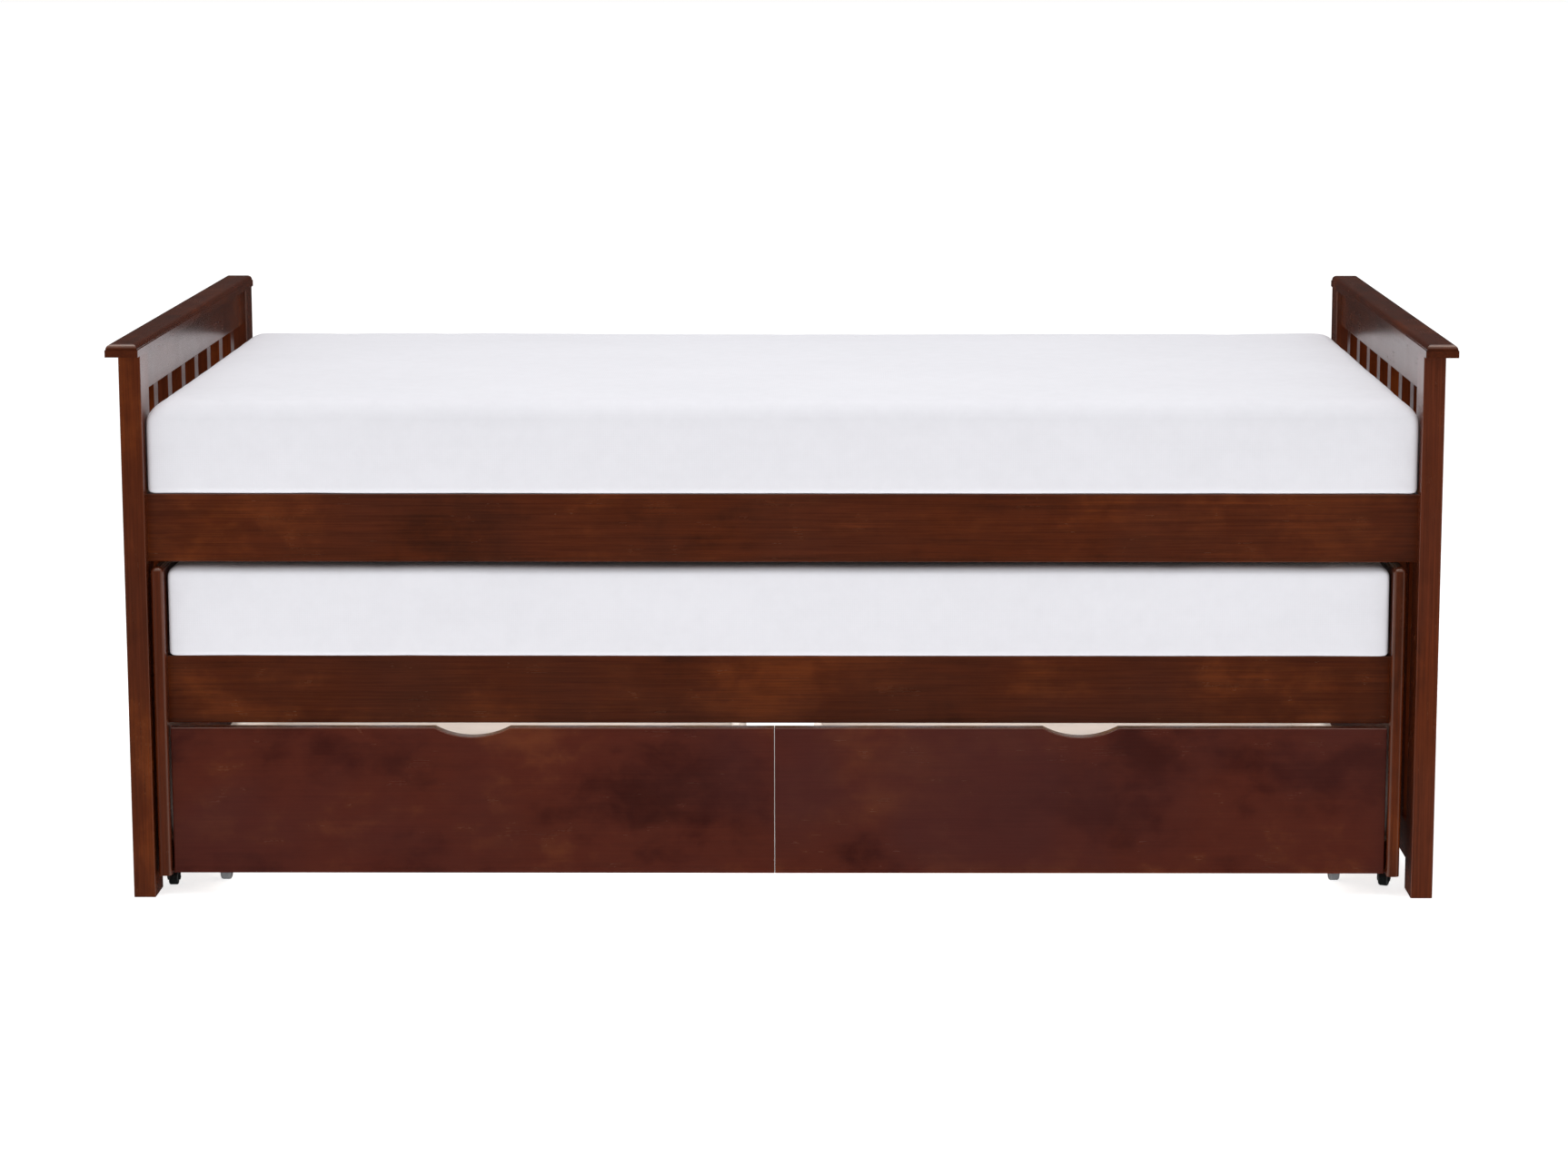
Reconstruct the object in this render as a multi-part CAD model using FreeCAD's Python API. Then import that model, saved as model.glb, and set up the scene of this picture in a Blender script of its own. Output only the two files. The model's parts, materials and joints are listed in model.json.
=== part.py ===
import FreeCAD, Part
import math
import os
from FreeCAD import Vector

# Twin trundle bed: two slatted end panels carry an upper bed. A lower bed on casters rolls out
# from under it towards -Y, and two storage drawers on wheels stand under the lower bed.
# Millimetres. +X to the sleeper's right seen from the front, +Y to the back, +Z up.
# The origin is on the floor at the centre of the whole footprint.

# Driving dimensions of the upper bed
INSIDE_LENGTH = 1972.0      # between the two end panels' posts
PANEL_DEPTH = 1075.0        # front face of the front posts to back face of the rear posts
POST_WIDTH = 34.0           # along X
POST_DEPTH = 66.0           # along Y
POST_HEIGHT = 856.0
CAP_THICKNESS = 20.0
CAP_OVERHANG = 17.0         # past the posts at the outside, the front and the back
RAIL_BOTTOM = 532.0         # underside of the upper bed's side rails
RAIL_HEIGHT = 107.0
RAIL_THICKNESS = 22.0
RAIL_SETBACK = 22.0         # side rail's outer face behind the post's outer face

# Mattresses, which lie on the slats and over the front rail's top edge
MATTRESS_DEPTH = 990.0
MATTRESS_HEIGHT = 147.0
UPPER_MATTRESS_FRONT = -521.0
LOWER_MATTRESS_FRONT = -515.0
MATTRESS_EDGE = 22.0        # radius of a mattress's upright edges; its top edge has half

# End panels
PANEL_RAIL_THICKNESS = 20.0
PANEL_RECESS = 8.0          # panel rails' inner face behind the posts' inner face
TOP_RAIL_HEIGHT = 62.0
FOOT_RAIL_BOTTOM = 35.0
FOOT_RAIL_HEIGHT = 60.0
PANEL_SLAT_COUNT = 7
PANEL_SLAT_PITCH = 122.25
PANEL_SLAT_WIDTH = 35.0
PANEL_SLAT_THICKNESS = 18.0

# Bed slats, which lie across both beds, flush with the tops of the rails
SLAT_COUNT = 13
SLAT_WIDTH = 70.0
SLAT_THICKNESS = 18.0
CLEAT_SIZE = (25.0, 30.0)   # along Y and Z
SCREW_SHANK = 3.5
SCREW_HEAD = 7.0
SCREW_LENGTH = 32.0

# Lower bed
TRUNDLE_SHIFT = -6.5        # it stands a little to the left between the posts
TRUNDLE_INSIDE = 1910.0     # between its end boards
BOARD_THICKNESS = 20.0
BOARD_DEPTH = 1065.0
BOARD_BOTTOM = 33.0
BOARD_TOP = 525.0
BOARD_EDGE = 8.0            # radius of the boards' rounded edges
TRUNDLE_RAIL_BOTTOM = 274.0
TRUNDLE_RAIL_HEIGHT = 107.5
TRUNDLE_RAIL_SETBACK = 25.0
STOP_BLOCK = (25.0, 90.0, 50.0)
STOP_GAP = 1.0              # between a pushed-in drawer front and its stop block

# Swivel casters under the lower bed's end boards
CASTER_WHEEL_DIAMETER = 25.0
CASTER_WHEEL_WIDTH = 15.0
CASTER_TRAIL = 9.0
CASTER_AXIS_Y = 450.0
CASTER_PLATE = (19.0, 40.0, 2.0)
CASTER_AXLE = 4.0
KINGPIN = 5.0
SHEET = 1.5                 # thickness of pressed steel
RUNNING_GAP = 0.05          # radial clearance of a pin in its hole
CASTER_TURNS = {            # how far each caster stands turned, in degrees
    "front_left": 4.0,
    "front_right": -22.0,
    "rear_left": 12.0,
    "rear_right": -15.0,
}

# Drawers
DRAWER_MIDDLE_GAP = 0.6     # between the two fronts
DRAWER_SEAM = -6.5          # where they meet, from the middle of the lower bed
DRAWER_END_GAP = 3.0        # between a front and the end board
FRONT_THICKNESS = 19.0
FRONT_FACE_SETBACK = 17.0   # drawer front's face behind the posts' front face
FRONT_BOTTOM = 35.0
FRONT_TOP = 269.0
FRONT_EDGE = 2.0            # radius of a drawer front's edges
SCOOP_WIDTH = 118.0
SCOOP_DEPTH = 15.0
BOX_INSET = 60.0            # box's side behind each end of the front
BOX_LENGTH = 600.0
BOX_WALL = 12.0
BOX_BOTTOM = 42.0
BOX_TOP = 230.0
BOX_FLOOR = (50.0, 56.0)    # underside and top of the drawer's bottom panel
DRAWER_WHEEL_DIAMETER = 34.0
DRAWER_WHEEL_WIDTH = 16.5
DRAWER_AXLE = 5.0
WHEEL_OUTER_FRONT_Y = -424.5
WHEEL_INNER_FRONT_Y = -347.5
WHEEL_REAR_Y = 40.0
BRACKET_PLATE = (24.0, 60.0, 2.0)

# Rail bolts of the upper bed
BOLT_DIAMETER = 6.0
BOLT_HEAD = (13.0, 4.0)     # diameter and height
BOLT_LENGTH = 84.0
BOLT_HEIGHTS = (558.0, 613.0)
BARREL_NUT = (10.0, 15.5)   # diameter and length

# Connecting screws of the lower bed
CONNECTOR_DIAMETER = 6.0
CONNECTOR_HEAD = 11.0
CONNECTOR_LENGTH = 60.0
CONNECTOR_HEIGHTS = (300.0, 355.0)

# Places that follow from the dimensions above
POST_INNER = INSIDE_LENGTH / 2
POST_OUTER = POST_INNER + POST_WIDTH
POST_FRONT = -PANEL_DEPTH / 2
POST_BACK = POST_FRONT + POST_DEPTH
RAIL_TOP = RAIL_BOTTOM + RAIL_HEIGHT
TRUNDLE_RAIL_TOP = TRUNDLE_RAIL_BOTTOM + TRUNDLE_RAIL_HEIGHT
RAIL_FACE = POST_FRONT + RAIL_SETBACK
PANEL_RAIL_INNER = POST_INNER + PANEL_RECESS
BOARD_FRONT = -BOARD_DEPTH / 2
BOARD_INNER = TRUNDLE_INSIDE / 2
BOARD_OUTER = BOARD_INNER + BOARD_THICKNESS
TRUNDLE_RAIL_FACE = BOARD_FRONT + TRUNDLE_RAIL_SETBACK
FRONT_FACE = POST_FRONT + FRONT_FACE_SETBACK
FRONT_BACK = FRONT_FACE + FRONT_THICKNESS
SIDES = {"left": -1, "right": 1}
X_AXIS = Vector(1, 0, 0)
Y_AXIS = Vector(0, 1, 0)
Z_AXIS = Vector(0, 0, 1)
ORIGIN = Vector(0, 0, 0)


def block(x, y, z):
    """A box from three (low, high) pairs, in any order."""
    low = Vector(min(x), min(y), min(z))
    return Part.makeBox(abs(x[1] - x[0]), abs(y[1] - y[0]), abs(z[1] - z[0]), low)


def rod(radius, start, end):
    """A cylinder from one point to another."""
    return Part.makeCylinder(radius, (end - start).Length, start, end - start)


def edges_along(shape, axis, keep=None):
    """The straight edges that run along an axis, and for which keep(centre) holds."""
    found = []
    for edge in shape.Edges:
        ends = [vertex.Point for vertex in edge.Vertexes]
        if len(ends) < 2:
            continue
        way = ends[1] - ends[0]
        if way.cross(axis).Length < 1e-6 and (keep is None or keep(edge.CenterOfMass)):
            found.append(edge)
    return found


def eased(shape, radius, axes):
    """A block with the edges along each of the axes rounded."""
    edges = []
    for axis in axes:
        edges += edges_along(shape, axis)
    return shape.makeFillet(radius, edges)


def flipped(shape, normal):
    """The shape's mirror image in the plane through the origin with this normal."""
    return shape.mirror(ORIGIN, normal)


def at_side(shape, side):
    """A shape made at +X, moved to the named side."""
    return shape if SIDES[side] > 0 else flipped(shape, X_AXIS)


def both_sides(shapes):
    """The shapes and their mirror images across the middle of the bed's length."""
    return shapes + [flipped(shape, X_AXIS) for shape in shapes]


def front_and_back(shapes):
    """The shapes and their mirror images across the middle of the bed's depth."""
    return shapes + [flipped(shape, Y_AXIS) for shape in shapes]


def in_trundle(shape):
    """A shape of the lower bed, moved to where the lower bed stands."""
    moved = shape.copy()
    moved.translate(Vector(TRUNDLE_SHIFT, 0, 0))
    return moved


def without(shape, tools):
    """The shape with the tools cut out of it."""
    return shape.cut(Part.makeCompound(tools))


def save(name, solids):
    """Writes one named part from its solids."""
    Part.makeCompound(solids).exportStep("parts/" + name + ".step")


# End panels, made at +X

def post():
    """The front post."""
    solid = block((POST_INNER, POST_OUTER), (POST_FRONT, POST_BACK), (0, POST_HEIGHT))
    solid = eased(solid, 2.0, [Z_AXIS])
    return without(solid, [bolt for bolt in rail_bolts() if bolt.BoundBox.YMax < 0])


def cap_rail():
    """The handrail on top: a square-edged band with a rounded, slightly smaller top."""
    band_height = 11.0
    step = 1.5
    front = POST_FRONT - CAP_OVERHANG
    outer = POST_OUTER + CAP_OVERHANG
    band = block((POST_INNER, outer), (front, -front), (POST_HEIGHT, POST_HEIGHT + band_height))
    crown = block(
        (POST_INNER + step, outer - step),
        (front + step, -front - step),
        (POST_HEIGHT + band_height, POST_HEIGHT + CAP_THICKNESS),
    )
    top = POST_HEIGHT + CAP_THICKNESS
    rim = edges_along(crown, X_AXIS, lambda centre: centre.z > top - 1)
    rim += edges_along(crown, Y_AXIS, lambda centre: centre.z > top - 1)
    crown = crown.makeFillet(CAP_THICKNESS - band_height - 1.0, rim)
    band = band.makeFillet(1.0, edges_along(band, Z_AXIS))
    return band.fuse(crown)


def panel_rail(bottom, height):
    """A rail of the end panel, between its posts."""
    inner = PANEL_RAIL_INNER
    solid = block(
        (inner, inner + PANEL_RAIL_THICKNESS), (POST_BACK, -POST_BACK), (bottom, bottom + height)
    )
    return eased(solid, 1.5, [Y_AXIS])


def panel_slats():
    """The upright slats, above and below the end panel's middle rail."""
    inner = PANEL_RAIL_INNER + (PANEL_RAIL_THICKNESS - PANEL_SLAT_THICKNESS) / 2
    spans = [
        (FOOT_RAIL_BOTTOM + FOOT_RAIL_HEIGHT, RAIL_BOTTOM),
        (RAIL_TOP, POST_HEIGHT - TOP_RAIL_HEIGHT),
    ]
    slats = []
    for span in spans:
        for index in range(PANEL_SLAT_COUNT):
            middle = (index - (PANEL_SLAT_COUNT - 1) / 2) * PANEL_SLAT_PITCH
            across = (middle - PANEL_SLAT_WIDTH / 2, middle + PANEL_SLAT_WIDTH / 2)
            slat = block((inner, inner + PANEL_SLAT_THICKNESS), across, span)
            slats.append(eased(slat, 1.0, [Z_AXIS]))
    return slats


# Upper bed

def rail_bolts():
    """The bolts through the +X panel's posts into the ends of both side rails."""
    axis_y = RAIL_FACE + RAIL_THICKNESS / 2
    socket_across = 4.0
    socket_depth = 2.2
    bolts = []
    for height in BOLT_HEIGHTS:
        head_face = Vector(POST_OUTER, axis_y, height)
        shoulder = head_face - Vector(BOLT_HEAD[1], 0, 0)
        tip = head_face - Vector(BOLT_LENGTH, 0, 0)
        head = rod(BOLT_HEAD[0] / 2, shoulder, head_face)
        bolt = head.fuse(rod(BOLT_DIAMETER / 2, tip, shoulder))
        hexagon = Part.makePolygon([
            head_face + Vector(
                -socket_depth,
                socket_across / 2 * math.cos(math.radians(60 * corner)),
                socket_across / 2 * math.sin(math.radians(60 * corner)),
            )
            for corner in range(7)
        ])
        bolts.append(bolt.cut(Part.Face(hexagon).extrude(X_AXIS * (socket_depth + 1))))
    return front_and_back(bolts)


def barrel_nuts():
    """The cross nuts inside the +X ends of both side rails."""
    inner_face = RAIL_FACE + RAIL_THICKNESS
    from_tip = 8.0
    nuts = []
    for height in BOLT_HEIGHTS:
        centre = Vector(POST_OUTER - BOLT_LENGTH + from_tip, inner_face, height)
        nuts.append(rod(BARREL_NUT[0] / 2, centre - Vector(0, BARREL_NUT[1], 0), centre))
    return [without(nut, rail_bolts()) for nut in front_and_back(nuts)]


def side_rail():
    """The upper bed's front side rail."""
    solid = block(
        (-POST_INNER, POST_INNER),
        (RAIL_FACE, RAIL_FACE + RAIL_THICKNESS),
        (RAIL_BOTTOM, RAIL_TOP),
    )
    solid = eased(solid, 2.0, [X_AXIS])
    metal = rail_bolts() + barrel_nuts()
    return without(solid, both_sides([piece for piece in metal if piece.BoundBox.YMax < 0]))


def slat_places(length):
    """The middle of each bed slat along X, spread over the bed's inside length."""
    margin = 14.0
    run = length - 2 * margin - SLAT_WIDTH
    return [run * (index / (SLAT_COUNT - 1) - 0.5) for index in range(SLAT_COUNT)]


def slat_screws(length, rail_inner, top):
    """Two countersunk screws at each bed slat, down into the cleats."""
    screw_y = rail_inner + CLEAT_SIZE[0] / 2
    head_height = (SCREW_HEAD - SCREW_SHANK) / 2
    screws = []
    for place in slat_places(length):
        head_top = Vector(place, screw_y, top)
        neck = head_top - Vector(0, 0, head_height)
        head = Part.makeCone(SCREW_SHANK / 2, SCREW_HEAD / 2, head_height, neck)
        shank = rod(SCREW_SHANK / 2, head_top - Vector(0, 0, SCREW_LENGTH), neck)
        screws.append(head.fuse(shank))
    return front_and_back(screws)


def cleats(length, rail_inner, top, screws):
    """The two ledges on the rails' inner faces that carry the bed slats."""
    end_gap = 15.0
    half = length / 2 - end_gap
    ledge = block(
        (-half, half),
        (rail_inner, rail_inner + CLEAT_SIZE[0]),
        (top - SLAT_THICKNESS - CLEAT_SIZE[1], top - SLAT_THICKNESS),
    )
    return [without(piece, screws) for piece in front_and_back([ledge])]


def bed_slats(length, rail_inner, top, screws):
    """The slats across the bed."""
    end_gap = 2.0
    half = -rail_inner - end_gap
    slats = []
    for place in slat_places(length):
        slat = block(
            (place - SLAT_WIDTH / 2, place + SLAT_WIDTH / 2),
            (-half, half),
            (top - SLAT_THICKNESS, top),
        )
        near = [screw for screw in screws if abs(screw.BoundBox.Center.x - place) < SLAT_WIDTH]
        slats.append(without(eased(slat, 1.5, [Y_AXIS]), near))
    return slats


def mattress(length, front, bottom):
    """A plain rounded block in the space of a mattress."""
    solid = block(
        (-length / 2, length / 2),
        (front, front + MATTRESS_DEPTH),
        (bottom, bottom + MATTRESS_HEIGHT),
    )
    solid = eased(solid, MATTRESS_EDGE, [Z_AXIS])
    top = bottom + MATTRESS_HEIGHT
    rim = [edge for edge in solid.Edges if abs(edge.CenterOfMass.z - top) < 1e-6]
    return solid.makeFillet(MATTRESS_EDGE / 2, rim)


# Lower bed, made about the middle of its own length

def connectors():
    """Countersunk connecting screws through the +X end board into both rails."""
    axis_y = TRUNDLE_RAIL_FACE + RAIL_THICKNESS / 2
    head_height = (CONNECTOR_HEAD - CONNECTOR_DIAMETER) / 2
    screws = []
    for height in CONNECTOR_HEIGHTS:
        face = Vector(BOARD_OUTER, axis_y, height)
        neck = face - Vector(head_height, 0, 0)
        head = Part.makeCone(
            CONNECTOR_DIAMETER / 2, CONNECTOR_HEAD / 2, head_height, neck, X_AXIS
        )
        shank = rod(CONNECTOR_DIAMETER / 2, face - Vector(CONNECTOR_LENGTH, 0, 0), neck)
        screws.append(head.fuse(shank))
    return front_and_back(screws)


def caster_centres():
    """The swivel axis of each caster at the height of its plate's top."""
    places = {}
    for row, sign in (("front", -1), ("rear", 1)):
        for side in SIDES:
            x = SIDES[side] * (BOARD_INNER + BOARD_THICKNESS / 2)
            places[row + "_" + side] = Vector(x, sign * CASTER_AXIS_Y, BOARD_BOTTOM)
    return places


def plate_screws(centre):
    """Two countersunk screws up through a caster plate into the end board."""
    spread = 14.0
    length = 25.0
    head_height = (SCREW_HEAD - SCREW_SHANK) / 2
    screws = []
    for sign in (-1, 1):
        face = centre + Vector(0, sign * spread, -CASTER_PLATE[2])
        neck = face + Vector(0, 0, head_height)
        head = Part.makeCone(SCREW_HEAD / 2, SCREW_SHANK / 2, head_height, face)
        screws.append(head.fuse(rod(SCREW_SHANK / 2, neck, face + Vector(0, 0, length))))
    return screws


def kingpin(centre):
    """The space of a caster's kingpin, with its running clearance."""
    depth = 1.0
    top = centre + Vector(0, 0, depth)
    return rod(KINGPIN / 2 + RUNNING_GAP, centre - Vector(0, 0, CASTER_PLATE[2]), top)


def end_board():
    """An end board of the lower bed, with rounded edges and holes for what screws into it."""
    solid = block(
        (BOARD_INNER, BOARD_OUTER), (BOARD_FRONT, -BOARD_FRONT), (BOARD_BOTTOM, BOARD_TOP)
    )
    edges = edges_along(solid, Z_AXIS)
    edges += edges_along(solid, Y_AXIS, lambda centre: centre.z > BOARD_TOP - 1)
    edges += edges_along(solid, X_AXIS, lambda centre: centre.z > BOARD_TOP - 1)
    solid = solid.makeFillet(BOARD_EDGE, edges)
    holes = connectors()
    for name, centre in caster_centres().items():
        if name.endswith("right"):
            holes += plate_screws(centre)
            holes.append(kingpin(centre))
    return without(solid, holes)


def trundle_rail():
    """The lower bed's front rail."""
    solid = block(
        (-BOARD_INNER, BOARD_INNER),
        (TRUNDLE_RAIL_FACE, TRUNDLE_RAIL_FACE + RAIL_THICKNESS),
        (TRUNDLE_RAIL_BOTTOM, TRUNDLE_RAIL_TOP),
    )
    solid = eased(solid, 2.0, [X_AXIS])
    return without(solid, both_sides([bolt for bolt in connectors() if bolt.BoundBox.YMax < 0]))


def stop_blocks():
    """Corner blocks behind the drawer fronts' outer ends, and the same at the back."""
    front = FRONT_BACK + STOP_GAP
    solid = block(
        (BOARD_INNER - STOP_BLOCK[0], BOARD_INNER),
        (front, front + STOP_BLOCK[1]),
        (BOARD_BOTTOM, BOARD_BOTTOM + STOP_BLOCK[2]),
    )
    return both_sides(front_and_back([eased(solid, 1.5, [Z_AXIS])]))


def caster_plate(centre):
    """A caster's top plate, screwed to the underside of an end board."""
    solid = block(
        (centre.x - CASTER_PLATE[0] / 2, centre.x + CASTER_PLATE[0] / 2),
        (centre.y - CASTER_PLATE[1] / 2, centre.y + CASTER_PLATE[1] / 2),
        (centre.z - CASTER_PLATE[2], centre.z),
    )
    solid = eased(solid, 3.0, [Z_AXIS])
    return without(solid, plate_screws(centre) + [kingpin(centre)])


def caster_fork(centre):
    """A caster's fork with its kingpin and axle, its wheel trailing towards the front."""
    cheek_inner = CASTER_WHEEL_WIDTH / 2 + 1.0
    cheek_outer = cheek_inner + SHEET
    crown_bottom = CASTER_WHEEL_DIAMETER + 2.5
    race_top = centre.z - CASTER_PLATE[2] - 0.3
    axle_z = CASTER_WHEEL_DIAMETER / 2
    ear = 5.0
    crown_back = 9.0
    crown = block(
        (-cheek_outer, cheek_outer),
        (-CASTER_TRAIL - ear, crown_back),
        (crown_bottom, crown_bottom + SHEET),
    )
    crown = crown.makeFillet(4.0, edges_along(crown, Z_AXIS))
    fork = crown.fuse(rod(8.0, Vector(0, 0, crown_bottom), Vector(0, 0, race_top)))
    fork = fork.fuse(rod(KINGPIN / 2, Vector(0, 0, crown_bottom), Vector(0, 0, centre.z)))
    outline = Part.makePolygon([
        Vector(0, -CASTER_TRAIL - ear, axle_z),
        Vector(0, -CASTER_TRAIL - ear, crown_bottom + SHEET / 2),
        Vector(0, crown_back - 4.0, crown_bottom + SHEET / 2),
        Vector(0, -CASTER_TRAIL + ear, axle_z),
        Vector(0, -CASTER_TRAIL - ear, axle_z),
    ])
    for low in (-cheek_outer, cheek_inner):
        cheek = Part.Face(outline).extrude(X_AXIS * SHEET)
        cheek.translate(Vector(low, 0, 0))
        boss = rod(ear, Vector(low, -CASTER_TRAIL, axle_z), Vector(low + SHEET, -CASTER_TRAIL, axle_z))
        fork = fork.fuse(cheek).fuse(boss)
    rivet = 0.8
    axle_end = Vector(cheek_outer + rivet, -CASTER_TRAIL, axle_z)
    axle = rod(CASTER_AXLE / 2, Vector(-axle_end.x, axle_end.y, axle_z), axle_end)
    return fork.fuse(axle).removeSplitter()


def wheel(diameter, width, axle, tread_radius):
    """A wheel on the X axis through the origin: rounded tread, dished sides and a hub."""
    dish_depth = 1.5
    rim = 4.0
    hub = axle / 2 + 3.0
    solid = rod(diameter / 2, X_AXIS * (-width / 2), X_AXIS * (width / 2))
    solid = solid.makeFillet(
        tread_radius, [edge for edge in solid.Edges if isinstance(edge.Curve, Part.Circle)]
    )
    for sign in (-1, 1):
        outside = X_AXIS * (sign * width / 2)
        inside = outside - X_AXIS * (sign * dish_depth)
        ring = rod(diameter / 2 - rim, inside, outside).cut(rod(hub, inside, outside))
        solid = solid.cut(ring)
    bore = axle / 2 + RUNNING_GAP
    return solid.cut(rod(bore, X_AXIS * -width, X_AXIS * width))


def save_casters():
    """Writes the four casters' forks and wheels, each turned about its swivel axis."""
    tread_radius = 3.0
    for name, centre in caster_centres().items():
        pivot = in_trundle(Part.Vertex(Vector(centre.x, centre.y, 0))).Point
        roller = wheel(CASTER_WHEEL_DIAMETER, CASTER_WHEEL_WIDTH, CASTER_AXLE, tread_radius)
        roller.translate(Vector(0, -CASTER_TRAIL, CASTER_WHEEL_DIAMETER / 2))
        for suffix, solid in (("fork", caster_fork(centre)), ("wheel", roller)):
            solid.translate(pivot)
            solid.rotate(pivot, Z_AXIS, CASTER_TURNS[name])
            save("caster_" + name + "_" + suffix, [solid])


# Drawers, both made at +X of the lower bed's middle; the left-hand one is turned over later

def front_span(side):
    """The ends of a drawer's front along X."""
    inner = DRAWER_MIDDLE_GAP / 2 + SIDES[side] * DRAWER_SEAM
    return inner, BOARD_INNER - DRAWER_END_GAP


def drawer_front(side):
    """A drawer front with a shallow finger scoop in the middle of its top edge."""
    low, high = front_span(side)
    solid = block((low, high), (FRONT_FACE, FRONT_BACK), (FRONT_BOTTOM, FRONT_TOP))
    radius = (SCOOP_WIDTH ** 2 / 4 + SCOOP_DEPTH ** 2) / (2 * SCOOP_DEPTH)
    middle = Vector((low + high) / 2, FRONT_FACE - 1, FRONT_TOP - SCOOP_DEPTH + radius)
    solid = solid.cut(rod(radius, middle, middle + Y_AXIS * (FRONT_THICKNESS + 2)))
    rim = [edge for edge in solid.Edges if abs(edge.CenterOfMass.y - FRONT_FACE) < 1e-6]
    return solid.makeFillet(FRONT_EDGE, rim)


def box_span(side):
    """The outer faces of a drawer's box along X."""
    low, high = front_span(side)
    return low + BOX_INSET, high - BOX_INSET


def box_side(low):
    """A side wall of a drawer's box."""
    wall = block(
        (low, low + BOX_WALL), (FRONT_BACK, FRONT_BACK + BOX_LENGTH), (BOX_BOTTOM, BOX_TOP)
    )
    return wall.makeFillet(
        2.0, edges_along(wall, Y_AXIS, lambda centre: centre.z > BOX_TOP - 1)
    )


def box_back(side):
    """The back wall of a drawer's box, between its sides."""
    low, high = box_span(side)
    end = FRONT_BACK + BOX_LENGTH
    wall = block((low + BOX_WALL, high - BOX_WALL), (end - BOX_WALL, end), (BOX_BOTTOM, BOX_TOP))
    return wall.makeFillet(
        2.0, edges_along(wall, X_AXIS, lambda centre: centre.z > BOX_TOP - 1)
    )


def box_floor(side):
    """The bottom panel of a drawer."""
    low, high = box_span(side)
    end = FRONT_BACK + BOX_LENGTH
    return block((low + BOX_WALL, high - BOX_WALL), (FRONT_BACK, end - BOX_WALL), BOX_FLOOR)


def drawer_wheel_places(side):
    """Each wheel's name and its centre, under the walls of a drawer's box."""
    low, high = box_span(side)
    inner_x = low + BOX_WALL / 2
    outer_x = high - BOX_WALL / 2
    centre_z = DRAWER_WHEEL_DIAMETER / 2
    return {
        "front_outer": Vector(outer_x, WHEEL_OUTER_FRONT_Y, centre_z),
        "front_inner": Vector(inner_x, WHEEL_INNER_FRONT_Y, centre_z),
        "rear_outer": Vector(outer_x, WHEEL_REAR_Y, centre_z),
        "rear_inner": Vector(inner_x, WHEEL_REAR_Y, centre_z),
    }


def wheel_bracket(centre):
    """A fixed wheel's bracket: a plate under the box wall, two cheeks and the axle."""
    cheek_inner = DRAWER_WHEEL_WIDTH / 2 + 1.0
    ear = 6.0
    plate_bottom = BOX_BOTTOM - BRACKET_PLATE[2]
    plate = block(
        (-BRACKET_PLATE[0] / 2, BRACKET_PLATE[0] / 2),
        (-BRACKET_PLATE[1] / 2, BRACKET_PLATE[1] / 2),
        (plate_bottom, BOX_BOTTOM),
    )
    bracket = plate.makeFillet(3.0, edges_along(plate, Z_AXIS))
    for low in (-cheek_inner - SHEET, cheek_inner):
        web = block((low, low + SHEET), (-ear, ear), (centre.z, plate_bottom))
        boss = rod(ear, Vector(low, 0, centre.z), Vector(low + SHEET, 0, centre.z))
        bracket = bracket.fuse(web).fuse(boss)
    axle_end = cheek_inner + SHEET + 0.8
    axle = rod(DRAWER_AXLE / 2, Vector(-axle_end, 0, centre.z), Vector(axle_end, 0, centre.z))
    bracket = bracket.fuse(axle).removeSplitter()
    bracket.translate(Vector(centre.x, centre.y, 0))
    return bracket


def save_drawer(side):
    """Writes one drawer and its wheels."""
    low, high = box_span(side)
    places = drawer_wheel_places(side)
    pieces = {
        "front": [drawer_front(side)],
        "inner_side": [box_side(low)],
        "outer_side": [box_side(high - BOX_WALL)],
        "back": [box_back(side)],
        "bottom": [box_floor(side)],
        "wheel_brackets": [wheel_bracket(centre) for centre in places.values()],
    }
    tread_radius = 3.5
    for name, centre in places.items():
        roller = wheel(DRAWER_WHEEL_DIAMETER, DRAWER_WHEEL_WIDTH, DRAWER_AXLE, tread_radius)
        roller.translate(centre)
        pieces["wheel_" + name] = [roller]
    for name, solids in pieces.items():
        save("drawer_" + side + "_" + name, [in_trundle(at_side(solid, side)) for solid in solids])


def save_end_panel(side):
    """Writes one end panel."""
    pieces = {
        "front_post": [post()],
        "rear_post": [flipped(post(), Y_AXIS)],
        "cap_rail": [cap_rail()],
        "top_rail": [panel_rail(POST_HEIGHT - TOP_RAIL_HEIGHT, TOP_RAIL_HEIGHT)],
        "mid_rail": [panel_rail(RAIL_BOTTOM, RAIL_HEIGHT)],
        "foot_rail": [panel_rail(FOOT_RAIL_BOTTOM, FOOT_RAIL_HEIGHT)],
        "slats": panel_slats(),
    }
    for name, solids in pieces.items():
        save(side + "_end_" + name, [at_side(solid, side) for solid in solids])


def save_upper_bed():
    """Writes what lies between the end panels."""
    rail_inner = RAIL_FACE + RAIL_THICKNESS
    mattress_gap = 2.0
    screws = slat_screws(INSIDE_LENGTH, rail_inner, RAIL_TOP)
    rail = side_rail()
    save("front_side_rail", [rail])
    save("rear_side_rail", [flipped(rail, Y_AXIS)])
    save("rail_bolts", both_sides(rail_bolts()))
    save("barrel_nuts", both_sides(barrel_nuts()))
    save("slat_cleats", cleats(INSIDE_LENGTH, rail_inner, RAIL_TOP, screws))
    save("bed_slats", bed_slats(INSIDE_LENGTH, rail_inner, RAIL_TOP, screws))
    save("slat_screws", screws)
    length = INSIDE_LENGTH - 2 * mattress_gap
    save("upper_mattress", [mattress(length, UPPER_MATTRESS_FRONT, RAIL_TOP)])


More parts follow.
